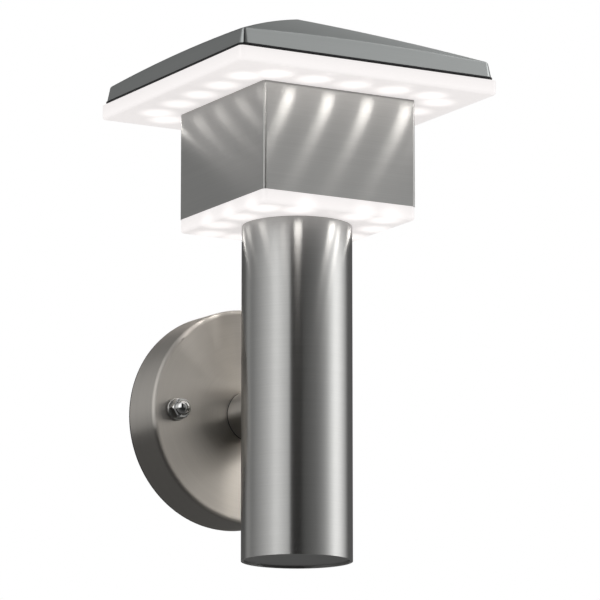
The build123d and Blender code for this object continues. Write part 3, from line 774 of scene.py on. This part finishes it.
def opal_acrylic(name, leds, tray_low, tray_high):
    """The sheet of a tray that glows by itself, most below its LEDs."""
    material, tree = new_material(name)
    place = add(tree, "ShaderNodeTexCoord").outputs["Object"]
    underside = (tube_axis.x, tube_axis.y, tray_low.z)
    centred = add(
        tree,
        "ShaderNodeVectorMath",
        {0: place, 1: underside},
        operation="SUBTRACT",
    ).outputs[0]
    height = add(tree, "ShaderNodeSeparateXYZ", {"Vector": centred}).outputs["Z"]
    spots = None
    for led_x, led_y in leds:
        gap = add(
            tree,
            "ShaderNodeVectorMath",
            {0: centred, 1: (led_x, led_y, 0)},
            operation="DISTANCE",
        )
        near = add(
            tree,
            "ShaderNodeMapRange",
            {
                "Value": gap.outputs["Value"],
                "From Min": spot_core,
                "From Max": spot_edge,
                "To Min": 1.0,
                "To Max": 0.0,
            },
            interpolation_type="SMOOTHERSTEP",
        ).outputs["Result"]
        if spots:
            near = add(tree, "ShaderNodeMath", {0: spots, 1: near}, operation="MAXIMUM").outputs[0]
        spots = near
    rim = add(
        tree,
        "ShaderNodeMapRange",
        {
            "Value": height,
            "From Min": rim_start,
            "From Max": tray_high.z - tray_low.z,
            "To Min": underside_glow,
            "To Max": top_edge_glow,
        },
    ).outputs["Result"]
    glow = add(tree, "ShaderNodeMath", {0: spots, 1: spot_glow, 2: rim}, operation="MULTIPLY_ADD")
    satin = noise(tree, place, 0.0006)
    close_material(
        tree,
        {
            "Base Color": tinted(tree, "#d2cfcf", between(tree, satin, 0.99, 1.01)),
            "Roughness": 0.35,
            "IOR": 1.49,
            "Emission Color": colour("#fffaf8"),
            "Emission Strength": glow.outputs[0],
        },
    )
    return material


upper_low, upper_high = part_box("upper_diffuser")
lower_low, lower_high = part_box("lower_diffuser")
upper_ring = 0.060
upper_pitch = 0.0243
upper_row = [step * upper_pitch for step in (-2, -1, 0, 1, 2)]
upper_led_places = led_places(upper_ring, [upper_row, upper_row])
lower_ring = 0.039
lower_rows = [(-0.033, -0.008, 0.016), (-0.032, -0.015, 0.021)]
lower_led_places = led_places(lower_ring, lower_rows)
upper_opal = opal_acrylic("opal_acrylic_upper", upper_led_places, upper_low, upper_high)
lower_opal = opal_acrylic("opal_acrylic_lower", lower_led_places, lower_low, lower_high)
finish_nodes(upper_opal, "upper_diffuser")
finish_nodes(lower_opal, "lower_diffuser")
finish_nodes(zinc, "lower_diffuser_screws", "upper_diffuser_screws")

# ---- Roof ----------------------------------------------------------------------------------------
# A low pyramid pressed from the same brushed stainless sheet, with a leaning skirt and softly rounded
# hips. The tie screws pull on a plated strap that is welded across its inside, with two weld nuts.
# The roof's steel colour is darker than the box's, a painted shade that dims what it mirrors.
darkened_roof_steel = brushed_steel(
    "stainless_brushed_roof", "level", tube_axis, roughness=0.34, steel="#b5b8b7"
)
finish_nodes(darkened_roof_steel, "roof_cap")
finish_nodes(zinc, "roof_strap", "weld_nuts")

# The roof seal's outer lip, in black rubber: it laps round the skirt's cut edge and shows as a thin dark
# line above the tray.
seal_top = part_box("roof_seal")[1].z
roof_low, roof_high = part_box("roof_cap")
lip_proud = 0.0003
lip_wall = 0.0018
lip_height = 0.0011
lip_corner = 0.0043
lip_edge = 0.00025
lip_side = roof_high.x - roof_low.x + 2 * lip_proud
lip_middle = (tube_axis.x, tube_axis.y, seal_top + lip_height / 2)


def rounded_square(side, height, corner):
    """A square block round the lip's middle whose upright edges are rounded."""
    bpy.ops.object.select_all(action="DESELECT")
    bpy.ops.mesh.primitive_cube_add(size=1, location=lip_middle, scale=(side, side, height))
    block = bpy.context.object
    bpy.ops.object.transform_apply(location=False, rotation=False, scale=True)
    bpy.ops.object.mode_set(mode="EDIT")
    bpy.ops.mesh.select_mode(type="EDGE")
    bpy.ops.mesh.select_all(action="DESELECT")
    bpy.ops.object.mode_set(mode="OBJECT")
    for edge in block.data.edges:
        ends = [block.data.vertices[i].co for i in edge.vertices]
        edge.select = abs(ends[0].z - ends[1].z) > height / 2
    bpy.ops.object.mode_set(mode="EDIT")
    bpy.ops.mesh.bevel(offset=corner, segments=8)
    bpy.ops.mesh.select_mode(type="VERT")
    bpy.ops.object.mode_set(mode="OBJECT")
    return block


seal_lip = rounded_square(lip_side, lip_height, lip_corner)
seal_lip.name = "roof_seal_lip"
lip_opening = rounded_square(lip_side - 2 * lip_wall, 2 * lip_height, lip_corner - lip_wall)
cut_with(seal_lip, lip_opening, "DIFFERENCE")
bevelled(seal_lip, lip_edge, 3)
bpy.ops.object.select_all(action="DESELECT")
seal_lip.select_set(True)
bpy.context.view_layer.objects.active = seal_lip
bpy.ops.object.transform_apply(location=True, rotation=True, scale=True)
bpy.ops.object.shade_smooth_by_angle(angle=math.radians(40))
seal_lip.data.materials.clear()
seal_lip.data.materials.append(rubber)
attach(seal_lip, "root")

# ---- Cable and leads -----------------------------------------------------------------------------
# The supply cable has a dark grey rubber sheath. The two LED leads are white PVC, and the earth wire is
# green with a yellow stripe along it.
sheath, tree = new_material("grey_rubber_sheath")
place = add(tree, "ShaderNodeTexCoord").outputs["Object"]
talc = noise(tree, place, 0.0008)
close_material(
    tree,
    {
        "Base Color": tinted(tree, "#56575a", between(tree, talc, 0.9, 1.08)),
        "Roughness": between(tree, talc, 0.5, 0.6),
    },
)
finish_nodes(sheath, "supply_cable")

white_pvc, tree = new_material("white_pvc_lead")
place = add(tree, "ShaderNodeTexCoord").outputs["Object"]
drawn = noise(tree, place, 0.0008)
close_material(
    tree,
    {
        "Base Color": tinted(tree, "#e6e6e4", between(tree, drawn, 0.96, 1.02)),
        "Roughness": between(tree, drawn, 0.38, 0.46),
    },
)
finish_nodes(white_pvc, "upper_led_lead", "lower_led_lead")

earth_pvc, tree = new_material("green_and_yellow_pvc")
surface = add(tree, "ShaderNodeNewGeometry").outputs["Normal"]
facing = add(tree, "ShaderNodeSeparateXYZ", {"Vector": surface})
stripe = add(tree, "ShaderNodeMath", {0: facing.outputs["X"], 1: 0.25}, operation="GREATER_THAN")
stripe_colour = add(
    tree,
    "ShaderNodeMix",
    {"Factor": stripe.outputs[0], 6: colour("#3f8f33"), 7: colour("#e8cf2e")},
    data_type="RGBA",
)
close_material(tree, {"Base Color": stripe_colour.outputs[2], "Roughness": 0.4})
finish_nodes(earth_pvc, "earth_wire")

# ---- The LEDs' light on the steel ----------------------------------------------------------------
# Small lamps just below each tray stand for the LEDs shining through it, and a wide one in front of the
# box for the upper tray's whole glow. They light the brushed metal alone, where they draw the slanting
# streaks. Those along the trays' left sides are weak, since the photograph shows only faint streaks on
# the steel's left faces.
lamp_drop = 0.001
led_watts = 0.0018
left_upper_watts = 0.0006
left_lower_watts = 0.0004
upper_lamp_size = 0.007
lower_lamp_size = 0.009
glow_width = 0.15
glow_watts = 0.0085


def lamp_group(name, *pieces):
    """A group of CAD pieces that a lamp lights, or that shade it."""
    group = bpy.data.collections.new(name)
    for piece in pieces:
        group.objects.link(nodes[piece])
    return group


def area_lamp(name, place, size, watts, lit, towards=(0, 0, -1), shaded_by=None):
    """A lamp on some pieces alone: a disc of one size, or a sheet with a width and a height."""
    lamp_data = bpy.data.lights.new(name, "AREA")
    lamp_data.shape = "DISK"
    lamp_data.size = size[0]
    if len(size) == 2:
        lamp_data.shape = "RECTANGLE"
        lamp_data.size_y = size[1]
    lamp_data.energy = watts
    lamp_data.color = colour("#fffbf7")[:3]
    lamp = bpy.data.objects.new(name, lamp_data)
    lamp.location = place
    lamp.rotation_mode = "QUATERNION"
    lamp.rotation_quaternion = Vector(towards).to_track_quat("-Z", "Y")
    lamp.visible_camera = False
    lamp.light_linking.receiver_collection = lit
    if shaded_by:
        lamp.light_linking.blocker_collection = shaded_by
    scene.collection.objects.link(lamp)


def led_lamps(tray, places, ring, underside, size, left_watts):
    """A lamp under each LED of a tray, weaker in the row along its left side."""
    for number, (led_x, led_y) in enumerate(places):
        in_left_row = led_x < -0.9 * ring
        watts = left_watts if in_left_row else led_watts
        place = (tube_axis.x + led_x, tube_axis.y + led_y, underside - lamp_drop)
        area_lamp(f"{tray}_led_light_{number}", place, [size], watts, head_steel)


head_steel = lamp_group("steel_lit_by_leds", "main_tube", "head_box", "stub_arm", "wall_plate")
led_lamps("upper", upper_led_places, upper_ring, upper_low.z, upper_lamp_size, left_upper_watts)
led_lamps("lower", lower_led_places, lower_ring, lower_low.z, lower_lamp_size, left_lower_watts)
box_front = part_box("head_box")[0].y
glow_depth = box_front - upper_low.y
glow_place = (tube_axis.x, box_front - glow_depth / 2, upper_low.z - lamp_drop)
area_lamp("upper_tray_glow", glow_place, [glow_width, glow_depth], glow_watts, head_steel)

# A tall sheet of light at the front right and a little above, which lights the plate alone. Only the arm,
# the nuts and their washers shade it, so the upright tube in front doesn't take it away.
plate_light_turn = math.radians(38)
plate_light_rise = 0.3
plate_light_distance = 0.7
plate_light_size = [0.3, 0.6]
plate_light_watts = 4.0
plate_steel = lamp_group("steel_lit_from_the_front_right", "wall_plate")
plate_shades = lamp_group("pieces_that_shade_the_plate", "stub_arm", "stud_washers")
for nut in (right_nut, left_nut):
    plate_shades.objects.link(nut)
plate_low, plate_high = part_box("wall_plate")
plate_middle = (plate_low + plate_high) / 2
plate_light_way = Vector((math.sin(plate_light_turn), -math.cos(plate_light_turn), plate_light_rise))
area_lamp(
    "plate_light",
    plate_middle + plate_light_distance * plate_light_way,
    plate_light_size,
    plate_light_watts,
    plate_steel,
    towards=-plate_light_way,
    shaded_by=plate_shades,
)
